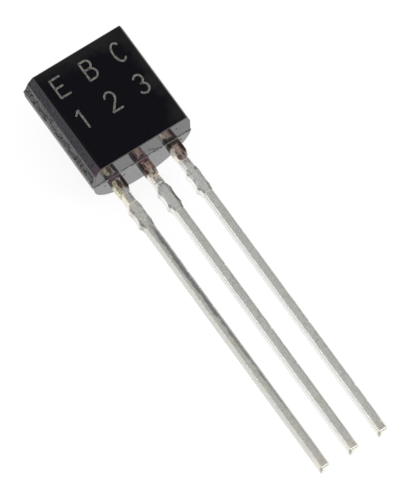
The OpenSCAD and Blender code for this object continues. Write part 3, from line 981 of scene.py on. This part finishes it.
platingLook = {
    "thickness": 0.006,
    "startInside": 0.1,          # hidden length inside the body
    "cornerPoints": 9,
    "bevelRows": 6,
    "step": 0.045,
    "fineStep": 0.012,
    "fineEnd": 2.7,
    "tipGap": 0.01,
    "waviness": 0.0022,
    "waveRates": (2.1, 1.7),     # of the sides and of the front, per mm
    "waveStart": 0.5,            # length over which the waves grow
    "beadHeight": 0.007,
    "beadLength": 0.03,
    "skinStart": 0.05,
    "roundingStart": 0.03,
    "burr": 0.05,
    "burrReach": (0.09, 0.06),   # where it starts left of the middle, and the width of its rise
    # the cut end, from the rim inwards: shares of the section, and of the burr that hangs from it
    "endShares": (0.97, 0.9, 0.85, 0.5),
    "hangShares": (1.0, 0.9, 0.25, 0.0),
}


def stubProud(depth, proud):
    # how far the stub stands out at a depth below the body: slope, waisted side, hollow foot
    size = leadSize
    top, bottom = size["stubStart"] + size["stubRise"], size["stubEnd"]
    foot = bottom + size["stubFall"]
    rise = np.clip((depth - size["stubStart"]) / size["stubRise"], 0, 1) * proud
    dip, halfChord = proud * size["stubWaist"], (bottom - top) / 2
    radius = (dip ** 2 + halfChord ** 2) / (2 * dip)
    along = np.clip(depth - (top + bottom) / 2, -halfChord, halfChord)
    waist = np.sqrt(radius ** 2 - along ** 2) - (radius - dip)
    radius = (proud ** 2 + size["stubFall"] ** 2) / (2 * proud)
    hollow = radius - np.sqrt(radius ** 2 - np.clip(foot - depth, 0, size["stubFall"]) ** 2)
    return np.where(depth > bottom, hollow, rise - waist * (depth > top))


def shankDepths():
    # rows down the lead: close together over root and stub, wide apart down the shank, a few on the bevel
    look = platingLook
    bevelTop = leadSize["length"] - leadSize["tipBevel"]
    fine = np.arange(-look["startInside"], look["fineEnd"], look["fineStep"])
    coarse = np.arange(look["fineEnd"], bevelTop - look["tipGap"], look["step"])
    return np.concatenate([fine, coarse, np.linspace(bevelTop, leadSize["length"], look["bevelRows"])])


def edgeRadius(depth):
    # sheared edges stay sharp on the root and the stub, the plating rounds the neck and the shank
    look, size = platingLook, leadSize
    over = look["roundingStart"]
    foot = size["stubEnd"] + size["stubFall"]
    neck = smoothStep((depth - size["rootEnd"] - size["rootTaper"]) / over)
    neck = neck * (1 - smoothStep((depth - size["stubStart"] + over) / over))
    rounded = neck + smoothStep((depth - foot) / over)
    return size["shearRounding"] + (size["edgeRounding"] - size["shearRounding"]) * rounded


def platedLead(key):
    # rounded-rectangle section(u) carried down the lead, its left and right reach changing with depth v
    look, size, lead = platingLook, leadSize, leadLooks[key]
    depth = shankDepths()
    rootShare = 1 - np.clip((depth - size["rootEnd"]) / size["rootTaper"], 0, 1)
    wave = look["waviness"] * smoothStep((depth - look["fineEnd"]) / look["waveStart"])
    sideRate, frontRate = look["waveRates"]
    left, right = (size["width"] / 2 + lead["roots"][k] * rootShare + stubProud(depth, lead["stubs"][k])
                   + wave * softNoise(depth * sideRate, lead["seed"] + k) for k in (0, 1))
    bevel = np.clip(depth - (size["length"] - size["tipBevel"]), 0, size["tipBevel"])
    front = stripFront + bevel + wave * softNoise(depth * frontRate, lead["seed"] + 2)
    back = np.full(len(depth), stripBack)
    radius = edgeRadius(depth)
    # the skin is half as thick above its bead as below it
    pastBead = depth - lead["beadDepth"]
    bead = look["beadHeight"] * np.exp(-(pastBead / look["beadLength"]) ** 2)
    skin = look["thickness"] * (1 + smoothStep(pastBead / look["skinStart"])) / 2 + bead
    corners = []
    for k, (signX, signY) in enumerate(quadrants):
        angle = np.linspace(0, math.pi / 2, look["cornerPoints"]) + k * math.pi / 2
        cornerX = (right - radius if signX > 0 else -left + radius)[:, None]
        cornerY = (back - radius if signY > 0 else front + radius)[:, None]
        grown = (radius + skin)[:, None]
        corners.append(np.stack([cornerX + grown * np.cos(angle), cornerY + grown * np.sin(angle)], -1))
    section = np.concatenate(corners, 1)
    # the sheared end: the last section drawn in towards its middle, with a burr hanging at the left edge
    middle = np.array((0.0, (stripFront + size["tipBevel"] + stripBack) / 2))
    endSection = middle + (section[-1] - middle) * np.array(look["endShares"])[:, None, None]
    hang = np.array(look["hangShares"])[:, None] * look["burr"]
    burrFrom, burrWidth = look["burrReach"]
    endZ = -size["length"] - skin[-1] - hang * smoothStep((-endSection[..., 0] - burrFrom) / burrWidth)
    x, y = np.moveaxis(np.concatenate([section, endSection]), -1, 0)
    z = np.concatenate([np.repeat(-depth[:, None], section.shape[1], 1), endZ])
    first = placed(lead["middle"], middle[1], look["startInside"])
    last = placed(lead["middle"], middle[1], -size["length"] - skin[-1])
    surface = tubeSurface(placed(lead["middle"] + x, y, z), first, last)
    makePiece(key + "Plating", [surface], tinOf[key])


for leadKey in leadLooks:
    platedLead(leadKey)


# pin marking: the letter of each pin over its number
markingLook = {
    "width": 0.42,
    "height": 0.8,
    "letterFoot": 3.28,
    "numberFoot": 1.75,
    "halfStroke": 0.042,
    "unevenness": 0.12,
    "waveRate": 0.9,
    "proud": 0.005,
    "sunk": 0.004,
    # the stroke's section: shares of its half width, and of its height above the face or depth below
    "acrossShares": (-1.0, -0.8, 0.0, 0.8, 1.0, 0.8, 0.0, -0.8),
    "liftShares": (0.3, 1.0, 1.0, 1.0, 0.3, -1.0, -1.0, -1.0),
    "endReach": (0.92, 0.55),    # of the two sections that round an end, in half widths
}


def arcPath(centre, radii, fromDegrees, toDegrees, count=17):
    # centre + radii x (cosine, sine) of an angle running between two values
    angle = np.radians(np.linspace(fromDegrees, toDegrees, count))
    return np.stack([centre[0] + radii[0] * np.cos(angle), centre[1] + radii[1] * np.sin(angle)], -1)


def linePath(*corners, count=9):
    # straight runs between corners, in shares of the character's width and height
    corners = np.array(corners, float)
    t = np.linspace(0, 1, count)[:, None]
    runs = [a + (b - a) * t for a, b in zip(corners[:-1], corners[1:])]
    return np.concatenate([runs[0]] + [run[1:] for run in runs[1:]])


def characterStrokes():
    bowl = np.concatenate([linePath((0, 1), (0.5, 1)), arcPath((0.5, 0.77), (0.42, 0.23), 84, -90),
                           linePath((0.5, 0.54), (0, 0.54))[1:]])
    belly = np.concatenate([linePath((0.4, 0.54), (0.5, 0.54)), arcPath((0.5, 0.27), (0.5, 0.27), 84, -90),
                            linePath((0.5, 0), (0, 0))[1:]])
    hook = np.concatenate([arcPath((0.5, 0.72), (0.46, 0.28), 165, -35, 21),
                           linePath((0.85, 0.52), (0, 0))[1:]])
    return {
        "E": [linePath((1, 1), (0, 1), (0, 0), (1, 0)), linePath((0, 0.52), (0.8, 0.52))],
        "B": [linePath((0, 0), (0, 1)), bowl, belly],
        "C": [arcPath((0.5, 0.5), (0.5, 0.5), 50, 310, 33)],
        "1": [linePath((0.15, 0.8), (0.55, 1), (0.55, 0))],
        "2": [hook, linePath((0, 0), (1, 0))],
        "3": [arcPath((0.48, 0.76), (0.42, 0.24), 150, -90, 21),
              arcPath((0.48, 0.26), (0.48, 0.26), 90, -150, 21)],
    }


def strokeSurface(path, seed):
    # a flat band along the path: half width across(v), a little proud of the face and a little sunk in it
    look = markingLook
    along = np.gradient(path, axis=0)
    along /= np.linalg.norm(along, axis=1)[:, None]
    side = np.stack([-along[:, 1], along[:, 0]], -1)
    share = np.array(look["acrossShares"])
    lift = np.array(look["liftShares"])
    height = np.where(lift > 0, -look["proud"] * lift, look["sunk"])
    wave = softNoise(np.arange(len(path)) * look["waveRate"], seed)
    half = look["halfStroke"] * (1 + look["unevenness"] * wave)
    # round ends: two narrower sections past each end of the path
    reach = np.array(look["endReach"])
    narrow = np.sqrt(1 - reach ** 2)
    starts = path[0] - along[0] * (reach * half[0])[:, None]
    ends = path[-1] + along[-1] * (reach[::-1] * half[-1])[:, None]
    middle = np.concatenate([starts, path, ends])
    side = np.concatenate([np.repeat(side[:1], 2, 0), side, np.repeat(side[-1:], 2, 0)])
    half = np.concatenate([narrow * half[0], half, narrow[::-1] * half[-1]])
    x = middle[:, 0, None] + side[:, 0, None] * half[:, None] * share
    z = middle[:, 1, None] + side[:, 1, None] * half[:, None] * share
    first, last = (placed(point[0], 0.0, point[1]) for point in (middle[0], middle[-1]))
    return tubeSurface(placed(x, height, z), first, last)


def makeMarking():
    look = markingLook
    strokes = characterStrokes()
    size = np.array((look["width"], look["height"]))
    surfaces = []
    for row, foot in (("EBC", look["letterFoot"]), ("123", look["numberFoot"])):
        for k, character in enumerate(row):
            corner = np.array(((k - 1) * leadSize["pitch"] - size[0] / 2, foot))
            for path in strokes[character]:
                surfaces.append(strokeSurface(corner + path * size, len(surfaces)))
    makePiece("pinMarking", surfaces, makeGrained("laserGrey"))


makeMarking()

stageLook = {
    "halfSize": 600 * mm,
    "floorDrop": 0.01 * mm,
    "floorDiffuse": 0.18,
    "seenGlow": 0.85,
    "mirroredGlow": 1.11,
    "cap": (0.30, 0.20, 0.93),   # direction of the dark opening overhead
    # level of the light by the cosine of the angle from there: horizon, start of the full ring,
    # where the opening begins, and where it is fully dark
    "levels": ((0.0, 1.0), (0.5, 1.25), (0.86, 1.25), (0.965, 0.04)),
    "lampToward": (0.27, -0.57, 0.77),
    "lampDistance": 150 * mm,
    "lampSize": 60 * mm,
    "lampPower": 0.03,
}


def makeFloorPaint():
    # dull and lit like any floor, with an even glow added for the camera and for mirror images
    look = stageLook
    material, tree, shader = newMaterial("paleFloor")
    shader.inputs["Base Color"].default_value = (*greyOf(look["floorDiffuse"]), 1.0)
    shader.inputs["Roughness"].default_value = 1.0
    shader.inputs["Specular IOR Level"].default_value = 0.0
    path = addNode("ShaderNodeLightPath", {}, tree)
    seen = largerOf(path.outputs["Is Camera Ray"], path.outputs["Is Transmission Ray"])
    seen = timesOf(seen, look["seenGlow"])
    mirrored = timesOf(path.outputs["Is Glossy Ray"], look["mirroredGlow"])
    shader.inputs["Emission Color"].default_value = (1.0, 1.0, 1.0, 1.0)
    connect(shader, {"Emission Strength": plusOf(seen, mirrored)})
    return material


def makeFloor():
    h, z = stageLook["halfSize"], -stageLook["floorDrop"]
    mesh = bpy.data.meshes.new("floor")
    mesh.from_pydata([(-h, -h, z), (h, -h, z), (h, h, z), (-h, h, z)], [], [(0, 1, 2, 3)])
    mesh.materials.append(makeFloorPaint())
    addObject("floor", mesh)


def makeWorld():
    # light by direction: a dark opening overhead, a bright ring round it, plain white at the horizon
    look = stageLook
    world = bpy.data.worlds.new("lightTent")
    bpy.context.scene.world = world
    world.use_nodes = True
    tree = world.node_tree
    direction = addNode("ShaderNodeTexCoord", {}, tree).outputs["Generated"]
    cap = np.array(look["cap"]) / np.linalg.norm(look["cap"])
    nearness = vectorMathOf("DOT_PRODUCT", {0: direction, 1: cap.tolist()}, "Value")
    ramp = addNode("ShaderNodeValToRGB", {"Fac": nearness})
    for k, (position, level) in enumerate(look["levels"]):
        stop = ramp.color_ramp.elements[k] if k < 2 else ramp.color_ramp.elements.new(position)
        stop.position = position
        stop.color = (*greyOf(level), 1.0)
    ramp.color_ramp.interpolation = "EASE"
    path = addNode("ShaderNodeLightPath", {}, tree)
    color = mixOf(path.outputs["Is Camera Ray"], ramp.outputs["Color"], greyOf(1.0))
    connect(tree.nodes["Background"], {"Color": color})


def lookingBack(away, place, roll=0.0):
    # a frame at a place that looks back along a direction, level but for its roll
    level = np.cross((0, 0, 1.0), away)
    level /= np.linalg.norm(level)
    up = math.cos(roll) * np.cross(away, level) + math.sin(roll) * level
    turn = np.eye(4)
    turn[:3] = np.stack([np.cross(up, away), up, away, place], -1)
    return Matrix(turn.tolist())


def makeLamp():
    look = stageLook
    data = bpy.data.lights.new("keyLamp", "AREA")
    data.shape = "DISK"
    data.size = look["lampSize"]
    data.energy = look["lampPower"]
    away = np.array(look["lampToward"]) / np.linalg.norm(look["lampToward"])
    addObject("keyLamp", data).matrix_world = lookingBack(away, away * look["lampDistance"])


makeFloor()
makeWorld()
makeLamp()

cameraLook = {
    "azimuth": -35.966,
    "elevation": 61.382,
    "roll": -0.916,
    "aim": (-0.1213 * mm, 0.0456 * mm, 1.8 * mm),
    "distance": 296.93 * mm,
    "lens": 574.56,
    "filmHeight": 36.0,
    "clip": (0.01, 10.0),        # near and far, in metres
}


def makeCamera():
    look = cameraLook
    azimuth, elevation, roll = (math.radians(look[key]) for key in ("azimuth", "elevation", "roll"))
    away = np.array((math.sin(azimuth) * math.cos(elevation), -math.cos(azimuth) * math.cos(elevation),
                     math.sin(elevation)))
    data = bpy.data.cameras.new("camera")
    data.sensor_fit = "VERTICAL"
    data.sensor_height = look["filmHeight"]
    data.lens = look["lens"]
    data.clip_start, data.clip_end = look["clip"]
    camera = addObject("camera", data)
    camera.matrix_world = lookingBack(away, np.array(look["aim"]) + away * look["distance"], roll)
    bpy.context.scene.camera = camera


makeCamera()
bpy.context.scene.view_settings.view_transform = "Standard"
print("stage ready")
